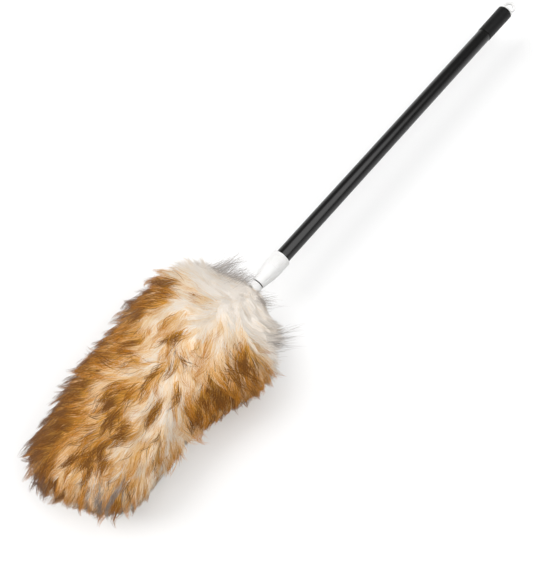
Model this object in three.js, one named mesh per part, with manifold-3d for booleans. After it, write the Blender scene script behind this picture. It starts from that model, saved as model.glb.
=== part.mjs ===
// A telescopic lambswool duster: a two-stage pole with a twist-lock collar and a soft wool head.
// Millimetres, +Z up. The pole lies along X, the head towards -X, and the wool rests on Z = 0.
// Lengthwise places are measured from the front end of the outer tube, positive towards the hand.
import * as THREE from 'three';
import { mergeVertices } from 'three/addons/utils/BufferGeometryUtils.js';
import Module from 'manifold-3d';

const wasm = await Module();
wasm.setup();

// Fits
const seatGap = 0.3; // between pieces that are fixed to each other
const runGap = 0.3; // between pieces that slide or turn
const threadGap = 0.3; // between the two threads
const gripGap = 0.15; // under the thin end grip
const stopGap = 0.4; // left at the end stop when the pole is fully out
const cutOver = 2; // how far a cutting shape runs past the face it opens

// Roundness
const turnSides = 32;
const threadSides = 24;
const pinSides = 12;
const arcSteps = 4;
const ribFlankShare = 0.3; // a rib's rise, its top and its fall, each over the spacing of the ribs

// Pole tubes
const outerTubeDiameter = 19.05;
const outerTubeWall = 1;
const outerTubeLength = 484;
const innerTubeDiameter = 12.7;
const innerTubeWall = 0.9;
const poleTravel = 330;

// Guide at the rear end of the inner tube
const bushLength = 28;
const clipThickness = 1.2;
const clipDiameter = 15.6;
const clipGrooveDepth = 0.4;
const plugFlangeThickness = 2.5;
const plugFlangeDiameter = 15.6;
const plugStubLength = 14;

// Threaded sleeve in the mouth of the outer tube
const sleeveTailLength = 26;
const sleeveFlangeLength = 3;
const spigotLength = 15;
const threadPitch = 3;
const threadCrestDiameter = 18.6;
const threadDepth = 0.8;
const threadFlatShare = 0.25; // flat of the crest, and of the root, over the pitch
const threadRelief = 0.15; // how far the plain ends lie under the root
const threadRunOut = 1.2; // plain length at each end of the sleeve's thread
const mouthDepth = 4.5;
const sleevePinDiameter = 2.4;
const sleevePinSetBack = 4;
const pinSink = 0.1; // how far a pin's end lies under the surface

// Split clamp ring
const clampWall = 1.75;
const clampBandLength = 5.5;
const clampConeLength = 5;
const clampConeTipWall = 0.6;
const clampNoseWall = 0.75;
const clampNoseTipWall = 0.45;
const clampSlotWidth = 2.4;

// Lock collar
const collarLength = 45;
const collarSkirtLength = 8;
const collarRearDiameter = 24;
const collarFrontDiameter = 15.8;
const collarTaperLength = 24.3;
const collarEdge = 0.7;
const collarRibCount = 36;
const collarRibHeight = 0.35;
const collarRibInset = 1.6; // plain rim left behind the ribs
const markLength = 9;
const markWidth = 2.2;
const markDepth = 0.7;
const markSetBack = 5; // from the collar's front edge to the near end of the mark
const markTurn = THREE.MathUtils.degToRad(46);

// Head socket
const neckGap = 1.4; // bare inner tube between collar and neck
const neckDiameter = 15.3;
const neckLength = 26;
const neckRibCount = 28;
const neckRibHeight = 0.3;
const neckRibLength = 11;
const neckEdge = 0.6;
const socketFlangeLength = 3;
const socketSpigotLength = 24;
const socketDepth = 40;
const socketPinDiameter = 2.5;
const socketPinSetBack = 19;

// Core and pelt
const coreDiameter = 19;
const coreWall = 1.5;
const coreLength = 262;
const corePlugLength = 12;
const coreDomeHeight = 6;
const peltThickness = 2.2;
const bindingWidth = 6;
const bindingThickness = 1.2;
const bindingSetBack = 5; // from the pelt's rear edge

// Wool, lying on its flattened underside
const axisHeight = 50; // pole axis above the floor
const neckShown = 10; // ribbed neck left bare behind the wool
const woolLength = 325;
const woolLeftReach = 88; // towards +Y
const woolRightReach = 88; // towards -Y
const woolTopReach = 66;
const woolSag = 1.2; // depth under the axis, unpressed, over axisHeight
const woolRings = 40;
const woolSides = 56;
const woolWidest = 0.28; // share of the length where the tufts are counted from
const tuftSpacing = 28; // from one tuft of the wool to the next
const tuftsAround = 12; // in a ring, with as many again set between two rings; an even number
const tuftDepth = 7; // from the tufts' crests down into the partings
const tuftSway = 0.3; // how far a row of tufts strays, as a share of its width
const swaysAround = 2; // waves of that sway around the wool
const swaysAlong = 3; // and along it, from neck to tip
// Outline of the wool from its neck to its tip, as shares of its length and of its reaches
const woolOutline = [
  { along: 0, left: 0.2, right: 0.2, top: 0.26 },
  { along: 0.03, left: 0.42, right: 0.33, top: 0.38 },
  { along: 0.07, left: 0.8, right: 0.54, top: 0.58 },
  { along: 0.13, left: 1, right: 0.76, top: 0.8 },
  { along: 0.22, left: 1, right: 0.97, top: 0.97 },
  { along: 0.29, left: 1, right: 1, top: 1 },
  { along: 0.44, left: 0.98, right: 0.84, top: 0.97 },
  { along: 0.56, left: 0.94, right: 0.76, top: 0.93 },
  { along: 0.7, left: 0.87, right: 0.81, top: 0.88 },
  { along: 0.85, left: 0.77, right: 0.82, top: 0.82 },
  { along: 0.94, left: 0.66, right: 0.55, top: 0.68 },
  { along: 1, left: 0.4, right: 0.16, top: 0.4 },
];

// Handle end
const gripLength = 48;
const gripFrontDiameter = 20;
const gripRearDiameter = 20.8;
const gripEdge = 0.4;
const capStubLength = 22;
const capStubWall = 2;
const capFlangeDiameter = 20.6;
const capFlangeLength = 3;
const capEdge = 0.8;
const loopHoleLength = 11;
const loopHoleWidth = 8.8;
const loopBar = 4.6;
const loopRoot = 2.2; // from the flange to the near end of the hole
const loopThickness = 4.2;
const loopEdge = 0.7;

// Places and radii that follow from the sizes above
const outerTubeRadius = outerTubeDiameter / 2;
const outerTubeBore = outerTubeRadius - outerTubeWall;
const innerTubeRadius = innerTubeDiameter / 2;
const innerTubeBore = innerTubeRadius - innerTubeWall;
const runningBore = innerTubeRadius + runGap;

const flangeFrontX = -sleeveFlangeLength;
const mouthX = flangeFrontX - spigotLength;
const threadCrest = threadCrestDiameter / 2;
const threadRoot = threadCrest - threadDepth;

const clampShoulderX = mouthX - seatGap;
const clampConeX = clampShoulderX - clampBandLength;
const clampFrontX = clampConeX - clampConeLength;
const clampRadius = runningBore + clampWall;
const clampNoseRadius = runningBore + clampNoseWall;
const clampNoseTipRadius = runningBore + clampNoseTipWall;
const clampConeTipRadius = runningBore + clampConeTipWall;

const collarRearX = collarSkirtLength;
const collarFrontX = collarRearX - collarLength;
const collarTaperX = collarFrontX + collarTaperLength;
const collarRadius = collarRearDiameter / 2;
const collarFrontRadius = collarFrontDiameter / 2;

const neckRearX = collarFrontX - neckGap;
const neckFrontX = neckRearX - neckLength;
const neckRadius = neckDiameter / 2;
const socketEndX = neckRearX - socketDepth;
const socketPinX = neckRearX - socketPinSetBack;
const coreRearX = neckFrontX - socketFlangeLength - seatGap;
const coreFrontX = coreRearX - coreLength;
const coreRadius = coreDiameter / 2;
const coreTipX = coreFrontX - seatGap - coreDomeHeight;

const woolRearX = neckRearX - neckShown;
const woolTipX = woolRearX - woolLength;
const peltRearX = woolRearX - seatGap;
const peltNeckRadius = neckRadius + seatGap;
const peltRadius = coreRadius + seatGap;

const clipFrontX = sleeveTailLength + poleTravel + stopGap;
const bushFrontX = clipFrontX + clipThickness + seatGap;
const bushRearX = bushFrontX + bushLength;
const innerTubeFrontX = socketEndX + seatGap;

const capFaceX = outerTubeLength + seatGap;
const loopFaceX = capFaceX + capFlangeLength;
const loopHoleX = loopFaceX + loopRoot + loopHoleLength / 2;
const loopEndX = loopHoleX + loopHoleLength / 2 + loopBar;

// Finishes
const satinBlack = new THREE.MeshStandardMaterial({ color: 0x16161a, roughness: 0.38, metalness: 0.5 });
const matteBlack = new THREE.MeshStandardMaterial({ color: 0x0b0b0c, roughness: 0.8, metalness: 0 });
const whitePlastic = new THREE.MeshStandardMaterial({ color: 0xf0efec, roughness: 0.4, metalness: 0 });
const naturalPlastic = new THREE.MeshStandardMaterial({ color: 0xd8d3c4, roughness: 0.5, metalness: 0 });
const steel = new THREE.MeshStandardMaterial({ color: 0xa7a9ac, roughness: 0.35, metalness: 1 });
const hide = new THREE.MeshStandardMaterial({ color: 0xd9c3a0, roughness: 0.8, metalness: 0 });
const wool = new THREE.MeshStandardMaterial({ color: 0xe3cba4, roughness: 0.95, metalness: 0 });

function signedVolume(geometry) {
  const [a, b, c] = [new THREE.Vector3(), new THREE.Vector3(), new THREE.Vector3()];
  const { position } = geometry.attributes;
  const corners = geometry.index.array;
  let sum = 0;
  for (let i = 0; i < corners.length; i += 3) {
    a.fromBufferAttribute(position, corners[i]);
    b.fromBufferAttribute(position, corners[i + 1]);
    c.fromBufferAttribute(position, corners[i + 2]);
    sum += a.dot(b.cross(c)) / 6;
  }
  return sum;
}

// Joins shared corners, drops the triangles that shrink to nothing on an axis, and faces all outwards.
function closedBody(geometry) {
  geometry.deleteAttribute('normal');
  geometry.deleteAttribute('uv');
  const body = mergeVertices(geometry);
  const corners = [];
  for (let i = 0; i < body.index.count; i += 3) {
    const [a, b, c] = body.index.array.slice(i, i + 3);
    if (a !== b && b !== c && c !== a) corners.push(a, b, c);
  }
  body.setIndex(corners);
  if (signedVolume(body) < 0) body.setIndex(corners.reverse());
  return body;
}

function toSolid(geometry) {
  const vertProperties = new Float32Array(geometry.attributes.position.array);
  const triVerts = new Uint32Array(geometry.index.array);
  return new wasm.Manifold(new wasm.Mesh({ numProp: 3, vertProperties, triVerts }));
}

function toGeometry(solid) {
  const { vertProperties, triVerts } = solid.getMesh();
  const geometry = new THREE.BufferGeometry();
  geometry.setAttribute('position', new THREE.BufferAttribute(vertProperties, 3));
  geometry.setIndex(new THREE.BufferAttribute(triVerts, 1));
  return geometry;
}

function joined(first, ...others) {
  return toGeometry(others.reduce((sum, other) => sum.add(toSolid(other)), toSolid(first)));
}

function cut(body, ...tools) {
  return toGeometry(tools.reduce((left, tool) => left.subtract(toSolid(tool)), toSolid(body)));
}

function shared(first, second) {
  return toGeometry(toSolid(first).intersect(toSolid(second)));
}

// A solid of revolution about the pole axis, from [x, radius] corners.
function turned(profile) {
  const points = profile.map(([x, radius]) => new THREE.Vector2(radius, x));
  return closedBody(new THREE.LatheGeometry(points, turnSides).rotateZ(-Math.PI / 2));
}

function tube(frontX, rearX, bore, radius) {
  return turned([[frontX, bore], [rearX, bore], [rearX, radius], [frontX, radius], [frontX, bore]]);
}

function rod(frontX, rearX, radius) {
  return turned([[frontX, 0], [frontX, radius], [rearX, radius], [rearX, 0]]);
}

// Corners of a round end, from its rim at rimX to the axis at tipX.
function dome(rimX, tipX, radius) {
  return Array.from({ length: arcSteps + 1 }, (_, step) => {
    const angle = (step / arcSteps) * (Math.PI / 2);
    return [rimX + (tipX - rimX) * Math.sin(angle), step < arcSteps ? radius * Math.cos(angle) : 0];
  });
}

// A bar with ribs along it: each rib rises from the root radius and falls back.
function ribbedBar(frontX, rearX, root, height, count) {
  const outline = [];
  const radii = [root, root + height, root + height, root];
  for (let rib = 0; rib < count; rib += 1) {
    for (const [corner, radius] of radii.entries()) {
      const angle = ((rib + corner * ribFlankShare) / count) * 2 * Math.PI;
      outline.push(new THREE.Vector2(radius * Math.cos(angle), radius * Math.sin(angle)));
    }
  }
  const shape = new THREE.Shape(outline);
  const bar = new THREE.ExtrudeGeometry(shape, { depth: rearX - frontX, bevelEnabled: false });
  return closedBody(bar.rotateY(Math.PI / 2).translate(frontX, 0, 0));
}

// A right-hand threaded bar: rows of corners follow the helix, so that crest and flanks run unbroken.
function threadedBar(frontX, rearX, root, crest) {
  const rowsOfTurn = [
    { place: 0, radius: root },
    { place: threadFlatShare, radius: root },
    { place: 1 / 2, radius: crest },
    { place: 1 / 2 + threadFlatShare, radius: crest },
  ];
  const perTurn = rowsOfTurn.length;
  // Starting on a whole number of turns keeps the two threads in mesh.
  const startX = (Math.floor(frontX / threadPitch) - 1) * threadPitch;
  const rows = Math.ceil((rearX - startX) / threadPitch) * perTurn;
  const corners = [];
  const cornerAt = (row, side) => {
    const angle = (side / threadSides) * 2 * Math.PI;
    const { place, radius } = rowsOfTurn[row % perTurn];
    const x = startX + (Math.floor(row / perTurn) + place + side / threadSides) * threadPitch;
    corners.push(x, radius * Math.cos(angle), radius * Math.sin(angle));
    return corners.length / 3 - 1;
  };
  const grid = [];
  for (let row = 0; row <= rows + perTurn; row += 1) {
    const sides = row <= rows ? threadSides : 1;
    grid.push(Array.from({ length: sides }, (_, side) => cornerAt(row, side)));
  }
  const at = (row, side) => (side < threadSides ? grid[row][side] : grid[row + perTurn][0]);
  const faces = [];
  for (let row = 0; row < rows; row += 1) {
    for (let side = 0; side < threadSides; side += 1) {
      const [a, b] = [at(row, side), at(row, side + 1)];
      const [c, d] = [at(row + 1, side + 1), at(row + 1, side)];
      faces.push(a, b, c, a, c, d);
    }
  }
  const closeEnd = (row, turn) => {
    const rim = [];
    for (let side = 0; side < threadSides; side += 1) rim.push(at(row, side));
    for (let step = perTurn; step > 0; step -= 1) rim.push(grid[row + step][0]);
    const middle = corners.length / 3;
    corners.push(startX + (row / perTurn) * threadPitch + threadPitch / 2, 0, 0);
    rim.forEach((corner, i) => {
      const next = rim[(i + 1) % rim.length];
      if (turn) faces.push(middle, next, corner);
      else faces.push(middle, corner, next);
    });
  };
  closeEnd(0, true);
  closeEnd(rows, false);
  const bar = new THREE.BufferGeometry();
  bar.setAttribute('position', new THREE.Float32BufferAttribute(corners, 3));
  bar.setIndex(faces);
  return shared(closedBody(bar), rod(frontX, rearX, crest + cutOver));
}

// A pin across the pole, along Y unless it is stood up along Z.
function crossPin(x, fromRadius, toRadius, radius, upright) {
  const pin = new THREE.CylinderGeometry(radius, radius, toRadius - fromRadius, pinSides);
  pin.translate(0, (fromRadius + toRadius) / 2, 0);
  if (upright) pin.rotateX(Math.PI / 2);
  return closedBody(pin.translate(x, 0, 0));
}

function sleevePinHole() {
  const reach = outerTubeRadius + cutOver;
  return crossPin(sleevePinSetBack, -reach, reach, sleevePinDiameter / 2 + seatGap, false);
}

function socketPinHole() {
  const reach = neckRadius + cutOver;
  return crossPin(socketPinX, -reach, reach, socketPinDiameter / 2 + seatGap, true);
}

function outerTube() {
  return cut(tube(0, outerTubeLength, outerTubeBore, outerTubeRadius), sleevePinHole());
}

function threadedSleeve() {
  const tailRadius = outerTubeBore - seatGap;
  const blank = turned([
    [mouthX, 0],
    [mouthX, threadRoot - threadRelief],
    [flangeFrontX, threadRoot - threadRelief],
    [flangeFrontX, outerTubeRadius],
    [-seatGap, outerTubeRadius],
    [-seatGap, tailRadius],
    [sleeveTailLength, tailRadius],
    [sleeveTailLength, 0],
  ]);
  const thread = threadedBar(mouthX + threadRunOut, flangeFrontX - threadRunOut, threadRoot, threadCrest);
  const bore = turned([
    [mouthX - cutOver, 0],
    [mouthX - cutOver, clampNoseRadius + seatGap],
    [mouthX, clampNoseRadius + seatGap],
    [mouthX + mouthDepth, clampNoseTipRadius + seatGap],
    [mouthX + mouthDepth, runningBore],
    [sleeveTailLength + cutOver, runningBore],
    [sleeveTailLength + cutOver, 0],
  ]);
  return cut(joined(blank, thread), bore, sleevePinHole());
}

function sleevePin(side) {
  const inner = runningBore + seatGap;
  const outer = outerTubeRadius - pinSink;
  const [from, to] = side > 0 ? [inner, outer] : [-outer, -inner];
  return crossPin(sleevePinSetBack, from, to, sleevePinDiameter / 2, false);
}

function clampRing() {
  const ring = turned([
    [clampFrontX, runningBore],
    [mouthX + mouthDepth - seatGap, runningBore],
    [mouthX + mouthDepth - seatGap, clampNoseTipRadius],
    [clampShoulderX, clampNoseRadius],
    [clampShoulderX, clampRadius],
    [clampConeX, clampRadius],
    [clampFrontX, clampConeTipRadius],
    [clampFrontX, runningBore],
  ]);
  const ringLength = mouthX + mouthDepth - clampFrontX;
  const slot = new THREE.BoxGeometry(ringLength + 2 * cutOver, clampSlotWidth, clampRadius + cutOver);
  slot.translate(clampFrontX + ringLength / 2, 0, (clampRadius + cutOver) / 2);
  return cut(ring, closedBody(slot));
}

// The lengthwise mark pressed into the collar's cone, which shows how far it is turned.
function collarMark() {
  const half = markWidth / 2;
  const straight = markLength / 2 - half;
  const outline = new THREE.Shape();
  outline.absarc(straight, 0, half, -Math.PI / 2, Math.PI / 2);
  outline.absarc(-straight, 0, half, Math.PI / 2, (3 * Math.PI) / 2);
  const depth = markDepth + cutOver;
  const mark = new THREE.ExtrudeGeometry(outline, { depth, bevelEnabled: false, curveSegments: arcSteps });
  const fall = (collarRadius - collarFrontRadius) / collarTaperLength;
  const fromFront = markSetBack + markLength / 2;
  mark.translate(0, 0, -markDepth).rotateY(-Math.atan(fall));
  mark.translate(collarFrontX + fromFront, 0, collarFrontRadius + fall * fromFront);
  return closedBody(mark.rotateX(markTurn));
}

function lockCollar() {
  const ribRoot = collarRadius - collarRibHeight;
  const ribRearX = collarRearX - collarEdge - collarRibInset;
  const shell = turned([
    [collarRearX, 0],
    [collarRearX, collarRadius - collarEdge],
    [collarRearX - collarEdge, collarRadius],
    [ribRearX, collarRadius],
    [ribRearX, ribRoot - collarRibHeight],
    [collarTaperX, ribRoot - collarRibHeight],
    [collarTaperX, collarRadius],
    [collarFrontX + collarEdge, collarFrontRadius],
    [collarFrontX, collarFrontRadius - collarEdge],
    [collarFrontX, 0],
  ]);
  const [ribFromX, ribToX] = [collarTaperX - collarEdge, ribRearX + collarEdge];
  const ribs = ribbedBar(ribFromX, ribToX, ribRoot, collarRibHeight, collarRibCount);
  const skirtRadius = outerTubeRadius + runGap;
  const stepX = flangeFrontX - seatGap;
  const cavityRadius = clampRadius + runGap;
  const hollow = turned([
    [collarRearX + cutOver, 0],
    [collarRearX + cutOver, skirtRadius],
    [stepX, skirtRadius],
    [stepX, cavityRadius],
    [clampConeX, cavityRadius],
    [clampFrontX - seatGap, clampConeTipRadius + seatGap],
    [clampFrontX - seatGap, runningBore],
    [collarFrontX - cutOver, runningBore],
    [collarFrontX - cutOver, 0],
  ]);
  const thread = threadedBar(mouthX, stepX + cutOver, threadRoot + threadGap, threadCrest + threadGap);
  return cut(joined(shell, ribs), hollow, thread, collarMark());
}

function innerTube() {
  const body = tube(innerTubeFrontX, bushRearX, innerTubeBore, innerTubeRadius);
  const groove = tube(
    clipFrontX - seatGap,
    clipFrontX + clipThickness + seatGap,
    innerTubeRadius - clipGrooveDepth,
    innerTubeRadius + cutOver,
  );
  return cut(body, groove, socketPinHole());
}

function bushClip() {
  const bore = innerTubeRadius - clipGrooveDepth + seatGap;
  return tube(clipFrontX, clipFrontX + clipThickness, bore, clipDiameter / 2);
}

function tubePlug() {
  const flangeX = bushRearX + seatGap;
  const stubRadius = innerTubeBore - seatGap;
  return turned([
    [bushRearX - plugStubLength, 0],
    [bushRearX - plugStubLength, stubRadius],
    [flangeX, stubRadius],
    [flangeX, plugFlangeDiameter / 2],
    [flangeX + plugFlangeThickness, plugFlangeDiameter / 2],
    [flangeX + plugFlangeThickness, 0],
  ]);
}

function headSocket() {
  const spigotRadius = coreRadius - coreWall - seatGap;
  const flangeX = neckFrontX - socketFlangeLength;
  const ribRoot = neckRadius - neckRibHeight;
  const ribFrontX = neckRearX - neckEdge - neckRibLength;
  const blank = turned([
    [neckRearX, 0],
    [neckRearX, neckRadius - neckEdge],
    [ribFrontX, neckRadius - neckEdge],
    [ribFrontX, neckRadius],
    [neckFrontX, neckRadius],
    [neckFrontX, coreRadius],
    [flangeX, coreRadius],
    [flangeX, spigotRadius],
    [flangeX - socketSpigotLength, spigotRadius],
    [flangeX - socketSpigotLength, 0],
  ]);
  const ribs = ribbedBar(ribFrontX - neckEdge, neckRearX - neckEdge, ribRoot, neckRibHeight, neckRibCount);
  const bore = rod(socketEndX, neckRearX + cutOver, innerTubeRadius + seatGap);
  return cut(joined(blank, ribs), bore, socketPinHole());
}

function socketPin() {
  const reach = neckRadius - pinSink;
  return crossPin(socketPinX, -reach, reach, socketPinDiameter / 2, true);
}

function corePlug() {
  const stubRadius = coreRadius - coreWall - seatGap;
  const rimX = coreFrontX - seatGap;
  return turned([
    [coreFrontX + corePlugLength, 0],
    [coreFrontX + corePlugLength, stubRadius],
    [rimX, stubRadius],
    ...dome(rimX, coreTipX, coreRadius),
  ]);
}

// The hide under the wool: a sock over the core, drawn in around the neck and bound there.
function peltSleeve() {
  const shoulderRearX = neckFrontX + seatGap;
  const shoulderFrontX = neckFrontX - socketFlangeLength;
  const rimX = coreFrontX - seatGap;
  const inside = dome(rimX, coreTipX - seatGap, peltRadius).reverse();
  const outside = dome(rimX, coreTipX - seatGap - peltThickness, peltRadius + peltThickness);
  return turned([
    ...inside,
    [shoulderRearX, peltRadius],
    [shoulderRearX, peltNeckRadius],
    [peltRearX, peltNeckRadius],
    [peltRearX, peltNeckRadius + peltThickness],
    [shoulderRearX + peltThickness, peltNeckRadius + peltThickness],
    [shoulderFrontX, peltRadius + peltThickness],
    ...outside,
  ]);
}

function neckBinding() {
  const rearX = peltRearX - bindingSetBack;
  const bore = peltNeckRadius + peltThickness + seatGap;
  return tube(rearX - bindingWidth, rearX, bore, bore + bindingThickness);
}

const woolCurves = ['left', 'right', 'top'].map((side) => {
  const points = woolOutline.map((row) => new THREE.Vector2(row.along, row[side]));
  return new THREE.SplineCurve(points);
});

// Half-widths and height of the wool at a share of its length, eased between the outline's rows.
function woolSection(along) {
  const lastRow = woolOutline.length - 1;
  const row = Math.max(woolOutline.findIndex((next) => next.along >= along), 1);
  const [before, after] = [woolOutline[row - 1].along, woolOutline[row].along];
  const place = (row - 1 + (along - before) / (after - before)) / lastRow;
  return woolCurves.map((curve) => Math.min(curve.getPoint(place).y, 1));
}

// How far the wool lies under the crests of its tufts, which stand in rows that sway. The rear edge stays plain.
function partingDepth(along, angle) {
  const fromWidest = along - woolWidest;
  const rowWidth = tuftSpacing * Math.SQRT2;
  const row = (fromWidest * woolLength) / rowWidth + tuftSway * Math.sin(swaysAround * angle);
  const turn = angle / (2 * Math.PI);
  const place = turn * tuftsAround + tuftSway * Math.sin(2 * Math.PI * swaysAlong * fromWidest);
  const crest = (1 + Math.cos(2 * Math.PI * row) * Math.cos(2 * Math.PI * place)) / 2;
  return tuftDepth * (1 - crest) * Math.min((along * woolLength) / tuftSpacing, 1);
}

function woolPile() {
  const corners = [];
  const faces = [];
  for (let ring = 0; ring <= woolRings; ring += 1) {
    const along = ring / woolRings;
    const [left, right, top] = woolSection(along);
    for (let side = 0; side < woolSides; side += 1) {
      const angle = (side / woolSides) * 2 * Math.PI;
      const [across, up] = [Math.cos(angle), Math.sin(angle)];
      const crestY = across * (across > 0 ? left * woolLeftReach : right * woolRightReach);
      const crestZ = up * top * (up > 0 ? woolTopReach : woolSag * axisHeight);
      const share = 1 - partingDepth(along, angle) / Math.hypot(crestY, crestZ);
      corners.push(woolRearX - along * woolLength, crestY * share, Math.max(crestZ * share, -axisHeight));
    }
  }
  for (let ring = 0; ring < woolRings; ring += 1) {
    for (let side = 0; side < woolSides; side += 1) {
      const [a, b] = [ring * woolSides + side, ring * woolSides + ((side + 1) % woolSides)];
      faces.push(a, b, b + woolSides, a, b + woolSides, a + woolSides);
    }
  }
  for (let side = 1; side < woolSides - 1; side += 1) {
    const last = woolRings * woolSides;
    faces.push(0, side + 1, side, last, last + side, last + side + 1);
  }
  const pile = new THREE.BufferGeometry();
  pile.setAttribute('position', new THREE.Float32BufferAttribute(corners, 3));
  pile.setIndex(faces);
  const boreRadius = peltRadius + peltThickness + seatGap;
  const rimX = coreFrontX - seatGap;
  const bore = turned([
    [woolRearX + cutOver, 0],
    [woolRearX + cutOver, boreRadius],
    ...dome(rimX, coreTipX - peltThickness - 2 * seatGap, boreRadius),
  ]);
  return cut(closedBody(pile), bore);
}

function endGrip() {
  const frontX = outerTubeLength - gripLength;
  const bore = outerTubeRadius + gripGap;
  return turned([
    [frontX, bore],
    [outerTubeLength, bore],
    [outerTubeLength, gripRearDiameter / 2 - gripEdge / 2],
    [outerTubeLength - gripEdge, gripRearDiameter / 2],
    [frontX + gripEdge, gripFrontDiameter / 2],
    [frontX, bore + gripEdge / 2],
    [frontX, bore],
  ]);
}

function endCap() {
  const stubRadius = outerTubeBore - seatGap;
  const flangeRadius = capFlangeDiameter / 2;
  const plug = turned([
    [outerTubeLength - capStubLength, stubRadius - capStubWall],
    [outerTubeLength - capStubLength, stubRadius],
    [capFaceX, stubRadius],
    [capFaceX, flangeRadius],
    [loopFaceX - capEdge, flangeRadius],
    [loopFaceX, flangeRadius - capEdge],
    [loopFaceX, 0],
    [capFaceX, 0],
    [capFaceX, stubRadius - capStubWall],
    [outerTubeLength - capStubLength, stubRadius - capStubWall],
  ]);
  const [holeAlong, holeAcross] = [loopHoleLength / 2, loopHoleWidth / 2];
  const barWithin = loopBar - loopEdge;
  const halfWidth = holeAcross + barWithin;
  const rootX = capFaceX + capEdge;
  const outline = new THREE.Shape();
  outline.moveTo(rootX, -halfWidth);
  outline.lineTo(loopHoleX, -halfWidth);
  outline.absellipse(loopHoleX, 0, holeAlong + barWithin, halfWidth, -Math.PI / 2, Math.PI / 2);
  outline.lineTo(rootX, halfWidth);
  const hole = new THREE.Path();
  hole.absellipse(loopHoleX, 0, holeAlong + loopEdge, holeAcross + loopEdge, 0, 2 * Math.PI);
  outline.holes.push(hole);
  const loop = new THREE.ExtrudeGeometry(outline, {
    depth: loopThickness - 2 * loopEdge,
    bevelSize: loopEdge,
    bevelThickness: loopEdge,
    bevelSegments: 2,
    curveSegments: 2 * arcSteps,
  });
  loop.translate(0, 0, loopEdge - loopThickness / 2);
  return joined(plug, closedBody(loop));
}

function piece(name, geometry, material) {
  const mesh = new THREE.Mesh(geometry, material);
  mesh.name = name;
  return mesh;
}

const handle = new THREE.Group().add(
  piece('outer_tube', outerTube(), satinBlack),
  piece('threaded_sleeve', threadedSleeve(), whitePlastic),
  piece('sleeve_pin_left', sleevePin(1), steel),
  piece('sleeve_pin_right', sleevePin(-1), steel),
  piece('end_grip', endGrip(), matteBlack),
  piece('end_cap', endCap(), whitePlastic),
);

const twistLock = new THREE.Group().add(
  piece('clamp_ring', clampRing(), naturalPlastic),
  piece('lock_collar', lockCollar(), whitePlastic),
);

const slider = new THREE.Group().add(
  piece('guide_bush', tube(bushFrontX, bushRearX, runningBore, outerTubeBore - runGap), naturalPlastic),
);

const head = new THREE.Group().add(
  piece('inner_tube', innerTube(), satinBlack),
  piece('bush_clip', bushClip(), steel),
  piece('tube_plug', tubePlug(), naturalPlastic),
  piece('head_socket', headSocket(), whitePlastic),
  piece('socket_pin', socketPin(), steel),
  piece('core_tube', tube(coreFrontX, coreRearX, coreRadius - coreWall, coreRadius), naturalPlastic),
  piece('core_plug', corePlug(), naturalPlastic),
  piece('pelt_sleeve', peltSleeve(), hide),
  piece('neck_binding', neckBinding(), steel),
  piece('wool_pile', woolPile(), wool),
);

const duster = new THREE.Group().add(handle, twistLock, slider, head);
duster.position.set(-(woolTipX + loopEndX) / 2, 0, axisHeight);

export default duster;
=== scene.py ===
import math
import bmesh
import bpy
from mathutils import Matrix, Vector, noise
from mathutils.bvhtree import BVHTree


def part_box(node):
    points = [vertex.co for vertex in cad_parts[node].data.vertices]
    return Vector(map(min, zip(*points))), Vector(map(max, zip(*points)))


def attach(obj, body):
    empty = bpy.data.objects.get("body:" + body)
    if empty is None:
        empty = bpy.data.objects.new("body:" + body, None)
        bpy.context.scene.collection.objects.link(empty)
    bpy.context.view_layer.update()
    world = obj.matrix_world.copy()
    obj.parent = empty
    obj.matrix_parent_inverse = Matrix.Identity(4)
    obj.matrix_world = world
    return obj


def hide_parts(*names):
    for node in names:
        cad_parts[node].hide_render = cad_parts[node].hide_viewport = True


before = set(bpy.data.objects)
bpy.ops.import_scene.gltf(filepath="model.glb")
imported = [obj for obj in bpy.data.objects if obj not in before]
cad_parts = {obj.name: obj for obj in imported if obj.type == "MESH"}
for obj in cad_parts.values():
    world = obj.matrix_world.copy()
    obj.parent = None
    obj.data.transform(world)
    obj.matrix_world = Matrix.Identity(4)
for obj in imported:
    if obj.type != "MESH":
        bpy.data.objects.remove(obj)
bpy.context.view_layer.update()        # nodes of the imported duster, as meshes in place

mm = 0.001
tubeLow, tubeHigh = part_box("outer_tube")
axisHeight = (tubeLow.z + tubeHigh.z) / 2     # the pole's axis above the floor
fullTurn = 2 * math.pi


# Small helpers for node trees

def feed(tree, socket, value):
    if isinstance(value, bpy.types.NodeSocket):
        tree.links.new(value, socket)
    else:
        socket.default_value = value


def addNode(tree, kind, feeds=None, **options):
    node = tree.nodes.new(kind)
    for option, value in options.items():
        setattr(node, option, value)
    for key, value in (feeds or {}).items():
        feed(tree, node.inputs[key], value)
    return node


def geometry(tree, kind, feeds=None, **options):
    return addNode(tree, "GeometryNode" + kind, feeds, **options).outputs[0]


def calc(tree, operation, *values):
    return addNode(tree, "ShaderNodeMath", dict(enumerate(values)), operation=operation).outputs[0]


def product(tree, value, *factors):
    for factor in factors:
        value = calc(tree, "MULTIPLY", value, factor)
    return value


def calcVector(tree, operation, *values):
    return addNode(tree, "ShaderNodeVectorMath", dict(enumerate(values)), operation=operation).outputs[0]


def scaled(tree, vector, amount):
    return addNode(tree, "ShaderNodeVectorMath", {0: vector, "Scale": amount}, operation="SCALE").outputs[0]


def moved(tree, place, way, amount):
    return calcVector(tree, "ADD", place, scaled(tree, way, amount))


def vectorOf(tree, **parts):
    return addNode(tree, "ShaderNodeCombineXYZ", parts).outputs[0]


def partsOf(tree, vector):
    return addNode(tree, "ShaderNodeSeparateXYZ", {0: vector}).outputs


def mapped(tree, value, low, high, toLow=0.0, toHigh=1.0, smooth=False):
    feeds = {"Value": value, "From Min": low, "From Max": high, "To Min": toLow, "To Max": toHigh}
    kind = "SMOOTHSTEP" if smooth else "LINEAR"
    return addNode(tree, "ShaderNodeMapRange", feeds, interpolation_type=kind).outputs["Result"]


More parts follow.
